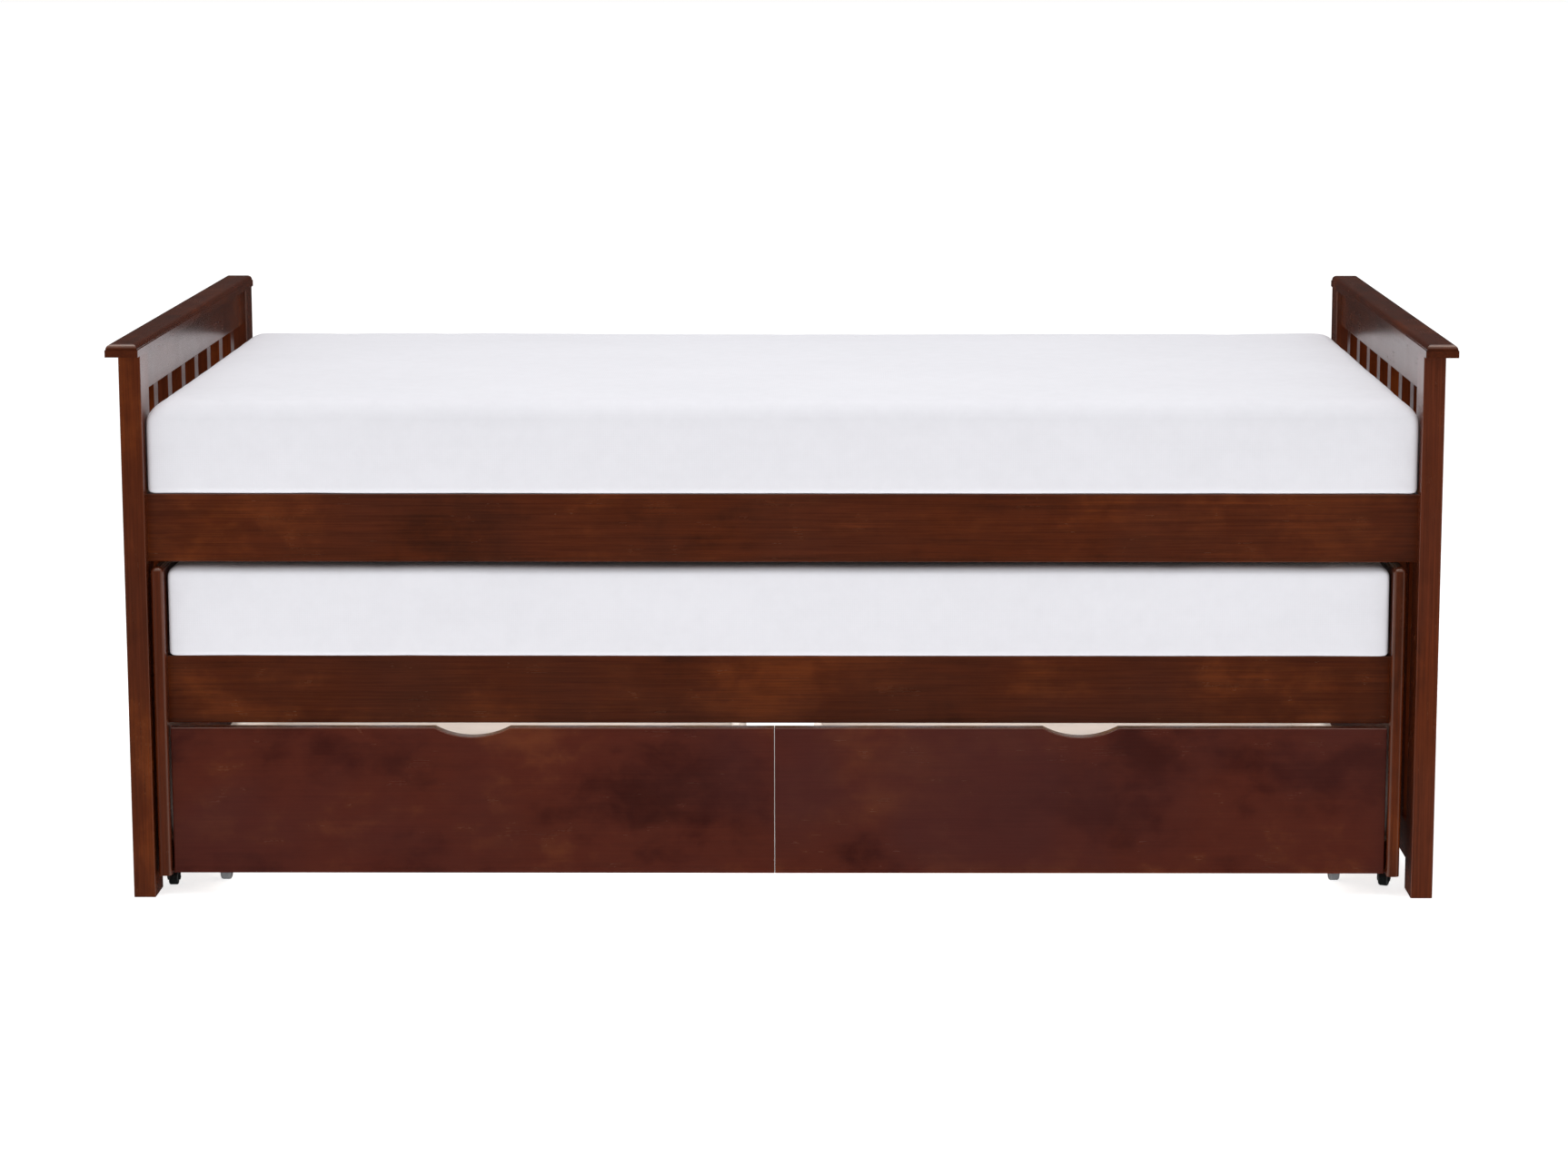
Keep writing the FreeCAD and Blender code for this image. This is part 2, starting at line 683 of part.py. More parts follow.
def save_lower_bed():
    """Writes the lower bed without its casters."""
    rail_inner = TRUNDLE_RAIL_FACE + RAIL_THICKNESS
    mattress_gap = 3.0
    screws = slat_screws(TRUNDLE_INSIDE, rail_inner, TRUNDLE_RAIL_TOP)
    ledges = cleats(TRUNDLE_INSIDE, rail_inner, TRUNDLE_RAIL_TOP, screws)
    slats = bed_slats(TRUNDLE_INSIDE, rail_inner, TRUNDLE_RAIL_TOP, screws)
    rail = trundle_rail()
    plates = []
    caster_screws = []
    for centre in caster_centres().values():
        plates.append(caster_plate(centre))
        caster_screws += plate_screws(centre)
    length = TRUNDLE_INSIDE - 2 * mattress_gap
    pieces = {
        "left_board": [flipped(end_board(), X_AXIS)],
        "right_board": [end_board()],
        "front_rail": [rail],
        "rear_rail": [flipped(rail, Y_AXIS)],
        "cleats": ledges,
        "slats": slats,
        "screws": screws + caster_screws + both_sides(connectors()),
        "stop_blocks": stop_blocks(),
        "caster_plates": plates,
        "mattress": [mattress(length, LOWER_MATTRESS_FRONT, TRUNDLE_RAIL_TOP)],
    }
    for name, solids in pieces.items():
        save("trundle_" + name, [in_trundle(solid) for solid in solids])


os.makedirs("parts", exist_ok=True)
for bed_side in SIDES:
    save_end_panel(bed_side)
    save_drawer(bed_side)
save_upper_bed()
save_lower_bed()
save_casters()
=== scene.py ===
import bpy
import json
import math
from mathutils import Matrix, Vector, noise


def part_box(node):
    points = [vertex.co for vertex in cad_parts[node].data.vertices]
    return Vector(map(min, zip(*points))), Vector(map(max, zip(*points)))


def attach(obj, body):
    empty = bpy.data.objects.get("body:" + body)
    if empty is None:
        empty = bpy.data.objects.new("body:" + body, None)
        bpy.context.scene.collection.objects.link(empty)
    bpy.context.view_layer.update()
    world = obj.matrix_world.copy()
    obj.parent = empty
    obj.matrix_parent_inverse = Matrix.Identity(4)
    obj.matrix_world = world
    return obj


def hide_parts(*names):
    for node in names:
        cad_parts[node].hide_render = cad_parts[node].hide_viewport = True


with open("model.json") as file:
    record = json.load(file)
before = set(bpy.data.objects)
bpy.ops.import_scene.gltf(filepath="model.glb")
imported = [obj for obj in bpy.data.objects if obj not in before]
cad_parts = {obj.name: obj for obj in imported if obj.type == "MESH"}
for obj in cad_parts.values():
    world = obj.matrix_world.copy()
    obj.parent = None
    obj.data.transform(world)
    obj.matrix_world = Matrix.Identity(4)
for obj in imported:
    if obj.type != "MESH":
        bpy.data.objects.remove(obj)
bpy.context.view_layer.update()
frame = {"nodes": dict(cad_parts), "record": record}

# The twin trundle bed: stained-cherry frame, redder drawer fronts, cream drawer boxes and two
# white mattresses. Metres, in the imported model's frame.

NODES = frame["nodes"]

# Camera: in front, a little to the right and above, looking slightly down
CAMERA_PLACE = Vector((0.096, -6.121, 1.522))
CAMERA_PITCH = math.radians(8.95)
CAMERA_YAW = math.radians(0.207)
CAMERA_LENS = 84.05
CAMERA_SENSOR = 36.0
CAMERA_SHIFT = (-0.03, -0.06)

# Colours, linear
CHERRY = {
    "dark": (0.044, 0.0085, 0.0025),
    "middle": (0.082, 0.0132, 0.0018),
    "bright": (0.138, 0.0250, 0.0020),
    "cool": (0.072, 0.0140, 0.0050),
}
MAROON = {
    "dark": (0.042, 0.0054, 0.0034),
    "middle": (0.080, 0.0118, 0.0054),
    "bright": (0.126, 0.0260, 0.0072),
    "cool": (0.062, 0.0125, 0.0110),
}
CREAM = (0.80, 0.745, 0.70)
PINE_PALE = (0.64, 0.43, 0.24)
PINE_DEEP = (0.43, 0.25, 0.12)
FABRIC_WHITE = (0.845, 0.84, 0.885)
FABRIC_SHADE = (0.66, 0.66, 0.70)
BLACK_PLASTIC = (0.0065, 0.0085, 0.0085)
GREY_PLASTIC = (0.175, 0.18, 0.19)
ZINC = (0.56, 0.56, 0.57)
FLOOR_WHITE = (0.95, 0.95, 0.95)

# How strong the growth streaks are, how small the stain's blotches are and how soft they are
FRAME_STAIN = {"streaks": 0.60, "blotch": 6.0, "spread": 0.15}
FRONT_STAIN = {"streaks": 0.18, "blotch": 5.0, "spread": 0.145}

# Lacquer on the stained wood as (coat, specular level); the end panels' slats are duller
LACQUER = (0.30, 0.5)
SLAT_LACQUER = (0.05, 0.15)
LACQUER_TINT = (1.0, 0.80, 0.64, 1.0)

# Mattresses
EDGE_CELL = 0.006           # size of the faces near a mattress's edges
OPEN_CELL = 0.020           # and elsewhere
UPPER_ROLL = 0.032          # radius of the upper mattress's top edges
LOWER_ROLL = 0.014          # and of the lower one's
BOTTOM_ROLL = 0.006
CORNER_ROLL = 0.006         # radius of the upright corners, which widens towards the top
SWELL_LIMIT = 0.005         # how far the filling may push the cover out
CLOTH_PRESSURE = 3.0
CLOTH_FRAMES = 14
COVER_RIPPLE = 0.0012       # how uneven the settled cover is

# Light
DOME_STRENGTH = 0.44        # soft light from all round
FLOOR_GLOW = 0.78           # the lit white floor's own brightness
FRONT_POWER = 8.0
TOP_POWER = 79.0
INSIDE_POWER = 4.0
MIRROR_LOW = 0.03           # what the lacquer mirrors in front, near the horizon
MIRROR_HIGH = 1.3           # and overhead and at both sides
MIRROR_SPAN = (0.30, 0.80)  # from which height the mirrored surround climbs, and up to which
MIRROR_SIDE = 0.3           # how much less the sides count than the height
MIRROR_BACK = 0.32          # how far the back counts towards bright


class Tree:
    """Short calls for building the nodes of a material or of the world."""

    def __init__(self, owner):
        owner.use_nodes = True
        self.nodes = owner.node_tree.nodes
        self.links = owner.node_tree.links

    def add(self, kind, **settings):
        node = self.nodes.new(kind)
        for key, value in settings.items():
            setattr(node, key, value)
        return node

    def put(self, source, target):
        """Joins an output to an input, or sets the input to a plain value."""
        if isinstance(source, bpy.types.NodeSocket):
            self.links.new(source, target)
        else:
            target.default_value = source

    def place(self, stretch=(1.0, 1.0, 1.0), offset=(0.0, 0.0, 0.0), turn=(0.0, 0.0, 0.0)):
        """The point being shaded, in the object's own frame, stretched and moved."""
        coords = self.add("ShaderNodeTexCoord")
        mapping = self.add("ShaderNodeMapping")
        self.put(coords.outputs["Object"], mapping.inputs["Vector"])
        mapping.inputs["Location"].default_value = offset
        mapping.inputs["Rotation"].default_value = turn
        mapping.inputs["Scale"].default_value = stretch
        return mapping.outputs["Vector"]

    def noise(self, place, scale, detail=4.0, rough=0.55, distortion=0.0):
        node = self.add("ShaderNodeTexNoise")
        self.put(place, node.inputs["Vector"])
        node.inputs["Scale"].default_value = scale
        node.inputs["Detail"].default_value = detail
        node.inputs["Roughness"].default_value = rough
        node.inputs["Distortion"].default_value = distortion
        return node.outputs["Fac"]

    def ramp(self, value, stops, smooth=False):
        """A colour ramp from (position, colour) stops."""
        node = self.add("ShaderNodeValToRGB")
        node.color_ramp.interpolation = "EASE" if smooth else "LINEAR"
        elements = node.color_ramp.elements
        while len(elements) < len(stops):
            elements.new(0.5)
        for element, (position, colour) in zip(elements, stops):
            element.position = position
            element.color = (*colour, 1.0)
        self.put(value, node.inputs["Fac"])
        return node.outputs["Color"]

    def math(self, operation, first, second=0.0):
        node = self.add("ShaderNodeMath", operation=operation)
        self.put(first, node.inputs[0])
        self.put(second, node.inputs[1])
        return node.outputs["Value"]

    def blend(self, parts):
        """The sum of (value, weight) pairs."""
        total = 0.0
        for value, weight in parts:
            total = self.math("ADD", self.math("MULTIPLY", value, weight), total)
        return total

    def mix(self, factor, first, second):
        node = self.add("ShaderNodeMix", data_type="RGBA")
        self.put(factor, node.inputs["Factor"])
        for socket, value in ((node.inputs[6], first), (node.inputs[7], second)):
            self.put(value if isinstance(value, bpy.types.NodeSocket) else (*value, 1.0), socket)
        return node.outputs[2]

    def scale(self, colour, factor):
        """A colour times a number."""
        node = self.add("ShaderNodeVectorMath", operation="SCALE")
        self.put(colour, node.inputs[0])
        self.put(factor, node.inputs["Scale"])
        return node.outputs["Vector"]

    def between(self, value, low, high, to_low, to_high, kind="LINEAR"):
        """The value mapped from one span to another."""
        node = self.add("ShaderNodeMapRange", interpolation_type=kind)
        self.put(value, node.inputs["Value"])
        node.inputs["From Min"].default_value = low
        node.inputs["From Max"].default_value = high
        node.inputs["To Min"].default_value = to_low
        node.inputs["To Max"].default_value = to_high
        return node.outputs["Result"]

    def bump(self, height, strength, distance, under=None):
        node = self.add("ShaderNodeBump")
        self.put(height, node.inputs["Height"])
        node.inputs["Strength"].default_value = strength
        node.inputs["Distance"].default_value = distance
        if under is not None:
            self.links.new(under, node.inputs["Normal"])
        return node.outputs["Normal"]

    def mix_shaders(self, factor, first, second):
        node = self.add("ShaderNodeMixShader")
        for source, target in zip((factor, first, second), node.inputs):
            self.links.new(source, target)
        return node.outputs["Shader"]

    def white_background(self, strength):
        node = self.add("ShaderNodeBackground")
        node.inputs["Color"].default_value = (1.0, 1.0, 1.0, 1.0)
        self.put(strength, node.inputs["Strength"])
        return node.outputs["Background"]


class Surface(Tree):
    """One new material and its nodes."""

    def __init__(self, name):
        self.material = bpy.data.materials.new(name)
        super().__init__(self.material)
        self.shader = self.nodes["Principled BSDF"]

    def finish(self, colour, roughness, normal=None, **values):
        """Joins the shader's inputs; uniform values are set on its own sockets."""
        self.put(colour, self.shader.inputs["Base Color"])
        self.put(roughness, self.shader.inputs["Roughness"])
        if normal is not None:
            self.links.new(normal, self.shader.inputs["Normal"])
        for name, value in values.items():
            self.shader.inputs[name.replace("_", " ")].default_value = value
        return self.material


def grain_scale(grain, along, across):
    """A stretch with one value along the grain's axis and another across it."""
    scale = [across, across, across]
    scale["XYZ".index(grain)] = along
    return tuple(scale)


def stained_wood(name, grain, seed, tones, streaks, blotch, spread, lacquer):
    """Stained and lacquered solid wood: blotchy stain, growth lines, pores and glossy lacquer.

    A small spread makes the stain's blotches harder."""
    tree = Surface(name)
    offset = (seed * 3.17, seed * 1.93, seed * 2.41)
    cloud = tree.noise(tree.place(grain_scale(grain, 0.75, 1.0), offset), blotch, 4.0, 0.5, 0.2)
    hue = tree.noise(tree.place((1.0, 1.0, 1.0), offset), 2.6, 2.0, 0.5, 0.4)
    fleck = tree.noise(tree.place(grain_scale(grain, 9.0, 13.0), offset), 2.0, 4.0, 0.6, 0.3)
    growth = tree.noise(tree.place(grain_scale(grain, 0.9, 40.0), offset), 1.6, 6.0, 0.62, 0.25)
    streak = tree.noise(tree.place(grain_scale(grain, 7.0, 420.0), offset), 1.0, 3.0, 0.6)
    pores = tree.noise(tree.place(grain_scale(grain, 45.0, 1500.0), offset), 1.0, 2.0, 0.5)

    lined = 0.36 * streaks
    stain = tree.blend([(cloud, 0.74 - lined), (fleck, 0.26), (growth, lined)])
    colour = tree.ramp(stain, [
        (0.5 - spread, tones["dark"]),
        (0.5, tones["middle"]),
        (0.5 + spread, tones["bright"]),
    ], smooth=True)
    colour = tree.mix(tree.between(hue, 0.46, 0.66, 0.0, 0.75), colour, tones["cool"])
    lines = tree.between(streak, 0.35, 0.65, 1.0 - 0.36 * streaks, 1.0 + 0.26 * streaks)
    dots = tree.between(pores, 0.30, 0.44, 1.0 - 0.22 * streaks, 1.0)
    colour = tree.scale(colour, tree.math("MULTIPLY", lines, dots))

    gloss = tree.blend([(fleck, 0.12), (streak, -0.06), (1.0, 0.22)])
    relief = tree.bump(streak, 0.08, 0.0003)
    relief = tree.bump(pores, 0.05, 0.0002, relief)
    coat, specular = lacquer
    return tree.finish(
        colour, gloss, relief, Specular_IOR_Level=specular, Specular_Tint=LACQUER_TINT,
        Coat_Weight=coat, Coat_Roughness=0.20,
    )


def bare_pine(name, grain, seed):
    """Sanded, unfinished pine with growth lines."""
    tree = Surface(name)
    offset = (seed * 2.3, seed * 1.7, seed * 0.9)
    growth = tree.noise(tree.place(grain_scale(grain, 1.2, 46.0), offset), 1.5, 5.0, 0.6, 0.8)
    fibre = tree.noise(tree.place(grain_scale(grain, 12.0, 700.0), offset), 1.0, 3.0, 0.6)
    value = tree.blend([(growth, 0.75), (fibre, 0.25)])
    colour = tree.ramp(value, [(0.36, PINE_DEEP), (0.54, PINE_PALE)], smooth=True)
    rough = tree.between(fibre, 0.3, 0.7, 0.58, 0.72)
    relief = tree.bump(fibre, 0.15, 0.0004)
    return tree.finish(colour, rough, relief, Specular_IOR_Level=0.35)


def cream_laminate(name):
    """The drawers' cream laminated board, with a faint print and orange-peel relief."""
    tree = Surface(name)
    print_noise = tree.noise(tree.place((5.0, 5.0, 40.0)), 2.0, 4.0, 0.6)
    peel = tree.noise(tree.place(), 420.0, 2.0, 0.5)
    darker = tuple(value * 0.90 for value in CREAM)
    colour = tree.ramp(print_noise, [(0.3, darker), (0.7, CREAM)])
    rough = tree.between(peel, 0.3, 0.7, 0.42, 0.54)
    return tree.finish(colour, rough, tree.bump(peel, 0.06, 0.0003), Specular_IOR_Level=0.4)


def ticking(name):
    """The mattress's white knitted cover: fine ribs all three ways, soft mottling, low sheen."""
    tree = Surface(name)
    ribs_per_metre = 620.0
    quarter = math.pi / 2
    ribs = []
    for turn in ((0.0, 0.0, 0.0), (0.0, quarter, 0.0), (0.0, 0.0, quarter)):
        wave = tree.add("ShaderNodeTexWave", wave_type="BANDS", bands_direction="X")
        tree.put(tree.place(turn=turn), wave.inputs["Vector"])
        wave.inputs["Scale"].default_value = ribs_per_metre / (2 * math.pi)
        wave.inputs["Distortion"].default_value = 0.4
        wave.inputs["Detail"].default_value = 1.0
        ribs.append((wave.outputs["Fac"], 1 / 3))
    weave = tree.blend(ribs)
    mottle = tree.noise(tree.place(), 38.0, 5.0, 0.62)
    cloud = tree.noise(tree.place((1.0, 1.6, 2.5)), 3.5, 3.0, 0.5)
    shadow = tuple(value * 0.965 for value in FABRIC_WHITE)
    tone = tree.blend([(mottle, 0.55), (cloud, 0.45)])
    colour = tree.ramp(tone, [(0.36, shadow), (0.62, FABRIC_WHITE)])
    colour = tree.mix(tree.between(weave, 0.0, 1.0, 0.0, 0.05), colour, FABRIC_SHADE)
    rough = tree.between(weave, 0.0, 1.0, 0.78, 0.92)
    relief = tree.bump(cloud, 0.08, 0.003)
    relief = tree.bump(weave, 0.20, 0.0006, relief)
    return tree.finish(
        colour, rough, relief,
        Specular_IOR_Level=0.2, Sheen_Weight=0.12, Sheen_Roughness=0.5,
    )


def moulded_plastic(name, tone, rough_span, scuff):
    """Moulded plastic with a fine texture and paler scuffs."""
    tree = Surface(name)
    grain = tree.noise(tree.place(), 900.0, 2.0, 0.5)
    marks = tree.noise(tree.place(), 160.0, 5.0, 0.7)
    paler = tuple(min(1.0, value * scuff + 0.01) for value in tone)
    colour = tree.ramp(marks, [(0.56, tone), (0.80, paler)])
    rough = tree.between(marks, 0.3, 0.7, *rough_span)
    return tree.finish(colour, rough, tree.bump(grain, 0.12, 0.0002), Specular_IOR_Level=0.45)


def plated_steel(name, tone, metallic, rough_span):
    """Pressed steel, plated or enamelled, with fine handling marks."""
    tree = Surface(name)
    marks = tree.noise(tree.place(), 240.0, 5.0, 0.65)
    deeper = tuple(value * 0.8 for value in tone)
    colour = tree.ramp(marks, [(0.35, deeper), (0.65, tone)])
    rough = tree.between(marks, 0.3, 0.7, *rough_span)
    return tree.finish(colour, rough, tree.bump(marks, 0.05, 0.0002), Metallic=metallic)


# Pieces made lighter or darker than the rest: partly a stain that differs, partly painted light
# and painted shade that make up for weaker or stronger light on them; the right front post's
# 1.52 is painted light only
STAIN_AND_PAINTED_LIGHT = {
    "left_end_front_post": 1.15,
    "right_end_front_post": 1.52,
    "trundle_front_rail": 0.94,
    "front_side_rail": 1.06,
    "trundle_left_board": 1.20,
    "trundle_right_board": 1.20,
    "drawer_left_front": 1.14,
    "drawer_right_front": 1.15,
}

# Which way the grain runs in each wooden piece, by the end of its name
GRAIN = {
    "_post": "Z", "cap_rail": "Y", "top_rail": "Y", "mid_rail": "Y", "foot_rail": "Y",
    "end_slats": "Z", "side_rail": "X", "_board": "Z", "front_rail": "X", "rear_rail": "X",
    "stop_blocks": "Z", "cleats": "X", "slats": "Y", "drawer_left_front": "X",
    "drawer_right_front": "X",
}


def grain_of(node):
    """The grain direction of a wooden node."""
    return next(axis for ending, axis in GRAIN.items() if node.endswith(ending))


def wood_for(node, slot, seed):
    """A wooden node's own material, so that no two pieces match."""
    name = slot + "_" + node
    grain = grain_of(node)
    if slot == "slat_pine":
        return bare_pine(name, grain, seed)
    # Scales the piece's stain tones: partly its own stain, partly painted light or painted shade
    depth = STAIN_AND_PAINTED_LIGHT.get(node, 1.0)
    is_front = slot == "drawer_front_wood"
    tones = {
        key: tuple(value * depth for value in tone)
        for key, tone in (MAROON if is_front else CHERRY).items()
    }
    lacquer = SLAT_LACQUER if node.endswith("end_slats") else LACQUER
    stain = FRONT_STAIN if is_front else FRAME_STAIN
    return stained_wood(name, grain, seed, tones, lacquer=lacquer, **stain)


def dress_cad_nodes():
    """Gives every CAD node its material."""
    shared = {
        "drawer_box_laminate": cream_laminate("drawer_box_laminate"),
        "mattress_fabric": ticking("mattress_fabric"),
        "black_wheel": moulded_plastic("black_wheel", BLACK_PLASTIC, (0.28, 0.42), 3.0),
        "grey_wheel": moulded_plastic("grey_wheel", GREY_PLASTIC, (0.42, 0.58), 1.5),
        "black_steel": plated_steel("black_steel", BLACK_PLASTIC, 0.0, (0.30, 0.44)),
        "zinc_steel": plated_steel("zinc_steel", ZINC, 1.0, (0.26, 0.42)),
    }
    for seed, part in enumerate(frame["record"]["subparts"]):
        node = part["node"]
        slot = part["material_slot"]
        material = shared[slot] if slot in shared else wood_for(node, slot, seed)
        NODES[node].data.materials.clear()
        NODES[node].data.materials.append(material)
    return shared


def axis_places(half, roll):
    """Places from -half to half along an axis, close together near both ends."""
    fine = max(3, round(roll / EDGE_CELL))
    inner = half - roll
    coarse = max(2, round(2 * inner / OPEN_CELL))
    start = [-half + roll * index / fine for index in range(fine)]
    middle = [inner * (2 * index / coarse - 1) for index in range(coarse + 1)]
    return start + middle + [-place for place in reversed(start)]


def round_off(point, half, top_roll):
    """Moves a point of a block's surface onto the block with rounded edges and corners."""
    roll = top_roll if point.z > 0 else BOTTOM_ROLL
    depth = min(half.x - abs(point.x), half.y - abs(point.y))
    height = abs(point.z)
    inward = roll - depth
    upward = height - (half.z - roll)
    x, y = point.x, point.y
    if inward > 0 and upward > 0:
        turned = Vector((inward, upward)).normalized() * max(inward, upward)
        height += turned.y - upward
        x *= (half.x - roll + turned.x) / (half.x - depth)
        y *= (half.y - roll + turned.x) / (half.y - depth)
        depth = roll - turned.x
    reach = Vector((half.x - depth, half.y - depth))
    corner = min(CORNER_ROLL + depth, reach.x, reach.y)
    core = Vector((
        max(corner - reach.x, min(reach.x - corner, x)),
        max(corner - reach.y, min(reach.y - corner, y)),
    ))
    out = Vector((x, y)) - core
    if abs(out.x) > 1e-9 and abs(out.y) > 1e-9:
        flat = core + out.normalized() * max(abs(out.x), abs(out.y))
    else:
        flat = Vector((x, y))
    return Vector((flat.x, flat.y, math.copysign(height, point.z)))


def rounded_block(name, low, high, roll):
    """A closed grid in the shape of a block with rounded edges."""
    centre = (low + high) / 2
    half = (high - low) / 2
    places = [axis_places(half[axis], roll) for axis in range(3)]
    last = [len(axis) - 1 for axis in places]
    numbers = {}

    def corner(key):
        """The number of a grid point on the block's surface."""
        return numbers.setdefault(tuple(key), len(numbers))

    faces = []
    for axis in range(3):
        u, v = (axis + 1) % 3, (axis + 2) % 3
        for end in (0, last[axis]):
            for i in range(last[u]):
                for j in range(last[v]):
                    loop = []
                    for du, dv in ((0, 0), (1, 0), (1, 1), (0, 1)):
                        key = [end, end, end]
                        key[u] = i + du
                        key[v] = j + dv
                        loop.append(corner(key))
                    faces.append(loop if end else loop[::-1])
    points = []
    for key in numbers:
        flat = Vector(places[axis][key[axis]] for axis in range(3))
        points.append(centre + round_off(flat, half, roll))
    mesh = bpy.data.meshes.new(name)
    mesh.from_pydata(points, [], faces)
    mesh.update()
    return mesh


def swell(piece):
    """Lets pressure push the cover out with Cloth, keeps each point within the limit and the
    underside flat, and leaves the result in the mesh."""
    before = [vertex.co.copy() for vertex in piece.data.vertices]
    cloth = piece.modifiers.new("swell", "CLOTH")
    settings = cloth.settings
    settings.quality = 4
    settings.mass = 0.4
    settings.tension_stiffness = 40.0
    settings.compression_stiffness = 40.0
    settings.shear_stiffness = 20.0
    settings.bending_stiffness = 8.0
    settings.use_pressure = True
    settings.uniform_pressure_force = CLOTH_PRESSURE
    settings.effector_weights.gravity = 0.0
    scene = bpy.context.scene
    for step in range(1, CLOTH_FRAMES + 1):
        scene.frame_set(step)
    graph = bpy.context.evaluated_depsgraph_get()
    moved = piece.evaluated_get(graph).to_mesh()
    after = [vertex.co.copy() for vertex in moved.vertices]
    piece.evaluated_get(graph).to_mesh_clear()
    piece.modifiers.remove(cloth)
    scene.frame_set(1)
    for vertex, start, end in zip(piece.data.vertices, before, after):
        push = end - start
        push.z = max(0.0, push.z)
        if push.length > SWELL_LIMIT:
            push = push.normalized() * SWELL_LIMIT
        vertex.co = start + push


def settle(piece, low, high):
    """Stretches the swollen cover back to its space, flat below and a little uneven above."""
    points = [vertex.co for vertex in piece.data.vertices]
    least = Vector(min(point[axis] for point in points) for axis in range(3))
    most = Vector(max(point[axis] for point in points) for axis in range(3))
    for vertex in piece.data.vertices:
        share = Vector(
            (vertex.co[axis] - least[axis]) / (most[axis] - least[axis]) for axis in range(3)
        )
        place = Vector(low[axis] + share[axis] * (high[axis] - low[axis]) for axis in range(3))
        wander = noise.noise(Vector((place.x * 3.1, place.y * 3.7, place.z * 9.0)))
        place.z += COVER_RIPPLE * (wander - 1.0) * share.z
        place.y += COVER_RIPPLE * noise.noise(Vector((place.x * 5.0, 7.3, place.z * 14.0)))
        for axis in range(3):
            place[axis] = max(low[axis], min(high[axis], place[axis]))
        vertex.co = place


def mattress(name, node, body, material, roll):
    """A foam mattress in a white knitted cover, in the space of its CAD block."""
    low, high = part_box(node)
    inset = Vector((SWELL_LIMIT, SWELL_LIMIT, SWELL_LIMIT)) / 2
    mesh = rounded_block(name, low + inset, high - inset, roll)
    piece = bpy.data.objects.new(name, mesh)
    bpy.context.scene.collection.objects.link(piece)
    swell(piece)
    settle(piece, low, high)
    smooth = piece.modifiers.new("smooth", "SUBSURF")
    smooth.levels = 1
    smooth.render_levels = 1
    for polygon in mesh.polygons:
        polygon.use_smooth = True
    mesh.materials.append(material)
    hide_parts(node)
    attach(piece, body)


def pale_floor():
    """A plain lit white floor, which runs well past the view."""
    half = 60.0
    corners = [(-half, -half, 0.0), (half, -half, 0.0), (half, half, 0.0), (-half, half, 0.0)]
    mesh = bpy.data.meshes.new("floor")
    mesh.from_pydata(corners, [], [(0, 1, 2, 3)])
    floor = bpy.data.objects.new("floor", mesh)
    bpy.context.scene.collection.objects.link(floor)
    tree = Surface("floor_white")
    white = (*FLOOR_WHITE, 1.0)
    tree.finish(
        white, 0.9, Specular_IOR_Level=0.0, Emission_Color=white, Emission_Strength=FLOOR_GLOW
    )
    mesh.materials.append(tree.material)
    floor.visible_glossy = False


def soft_box(name, place, target, size, power, mirrored):
    """A rectangular area light that faces a point. Gloss shows it only if it is mirrored."""
    light = bpy.data.lights.new(name, "AREA")
    light.shape = "RECTANGLE"
    light.size, light.size_y = size
    light.energy = power
    lamp = bpy.data.objects.new(name, light)
    lamp.location = place
    lamp.visible_camera = False
    lamp.visible_glossy = mirrored
    lamp.rotation_euler = (Vector(target) - Vector(place)).to_track_quat("-Z", "Y").to_euler()
    bpy.context.scene.collection.objects.link(lamp)


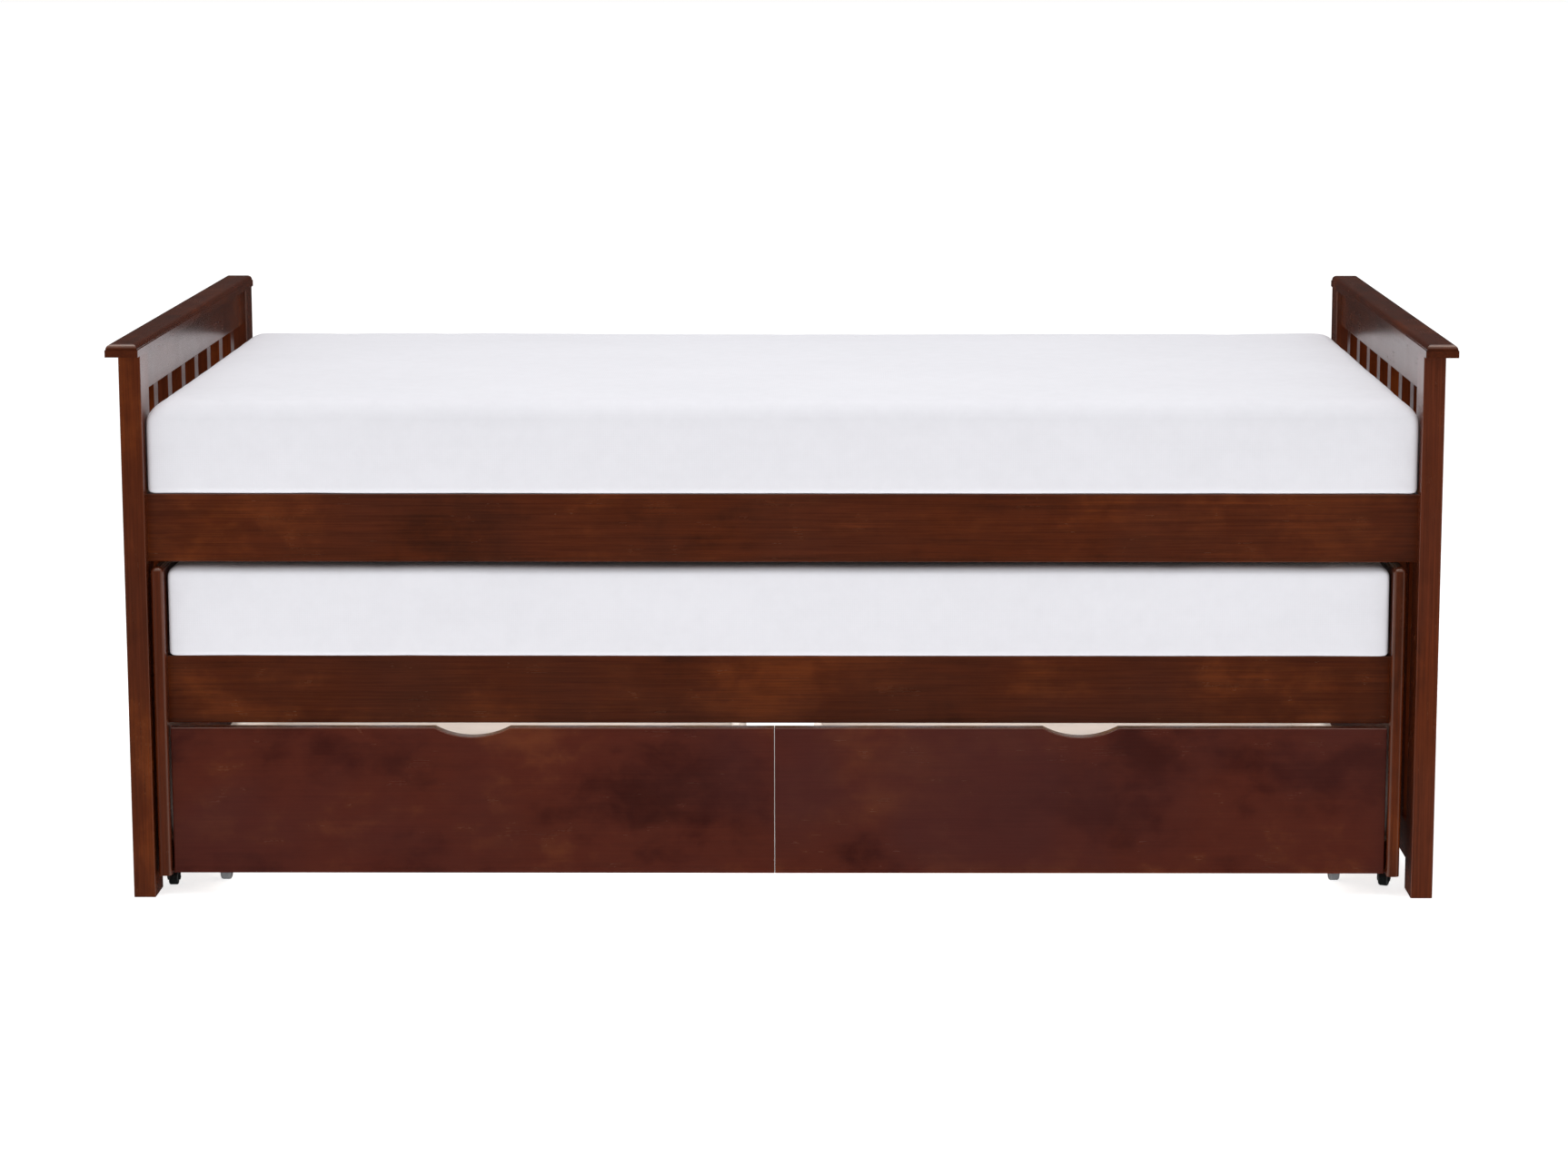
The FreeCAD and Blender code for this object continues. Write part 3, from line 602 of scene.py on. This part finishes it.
def mirrored_surround(tree):
    """What gloss mirrors: dim in front near the horizon, bright overhead and at both sides."""
    coords = tree.add("ShaderNodeTexCoord")
    split = tree.add("ShaderNodeSeparateXYZ")
    tree.put(coords.outputs["Generated"], split.inputs["Vector"])
    side = tree.math("SUBTRACT", tree.math("ABSOLUTE", split.outputs["X"]), MIRROR_SIDE)
    back = tree.math("MULTIPLY", split.outputs["Y"], MIRROR_BACK)
    highest = tree.math("MAXIMUM", tree.math("MAXIMUM", side, split.outputs["Z"]), back)
    climb = tree.between(highest, *MIRROR_SPAN, MIRROR_LOW, MIRROR_HIGH, kind="SMOOTHSTEP")
    return tree.white_background(climb)


def surround():
    """The world: a soft dome as light, a white backdrop to the camera, and the mirrored one."""
    world = bpy.data.worlds.new("surround")
    bpy.context.scene.world = world
    tree = Tree(world)
    rays = tree.add("ShaderNodeLightPath")
    dome = tree.white_background(DOME_STRENGTH)
    lit = tree.mix_shaders(rays.outputs["Is Glossy Ray"], dome, mirrored_surround(tree))
    seen = tree.mix_shaders(rays.outputs["Is Camera Ray"], lit, tree.white_background(1.0))
    tree.put(seen, tree.nodes["World Output"].inputs["Surface"])


def studio():
    """A box in front, one above, a faint one over the drawers' boxes, and the surround."""
    soft_box(
        "front_box", place=(-0.8, -6.5, 1.7), target=(0.0, 0.0, 0.4),
        size=(5.0, 2.4), power=FRONT_POWER, mirrored=False,
    )
    soft_box(
        "top_box", place=(0.0, -0.4, 3.8), target=(0.0, -0.1, 0.3),
        size=(4.4, 1.8), power=TOP_POWER, mirrored=True,
    )
    soft_box(
        "inside_box", place=(0.0, -0.2, 0.345), target=(0.0, -0.1, 0.1),
        size=(1.7, 0.25), power=INSIDE_POWER, mirrored=False,
    )
    surround()
    settings = bpy.context.scene.view_settings
    settings.view_transform = "Standard"
    settings.look = "None"


def camera():
    """The camera at the front, looking slightly down on the bed."""
    data = bpy.data.cameras.new("camera")
    data.lens = CAMERA_LENS
    data.sensor_width = CAMERA_SENSOR
    data.shift_x, data.shift_y = CAMERA_SHIFT
    data.clip_start = 0.1
    data.clip_end = 200.0
    eye = bpy.data.objects.new("camera", data)
    eye.location = CAMERA_PLACE
    eye.rotation_euler = (math.pi / 2 - CAMERA_PITCH, 0.0, CAMERA_YAW)
    bpy.context.scene.collection.objects.link(eye)
    bpy.context.scene.camera = eye


camera()
materials = dress_cad_nodes()
fabric = materials["mattress_fabric"]
mattress("upper_mattress_cover", "upper_mattress", "bed_frame", fabric, UPPER_ROLL)
mattress("trundle_mattress_cover", "trundle_mattress", "trundle", fabric, LOWER_ROLL)
pale_floor()
studio()
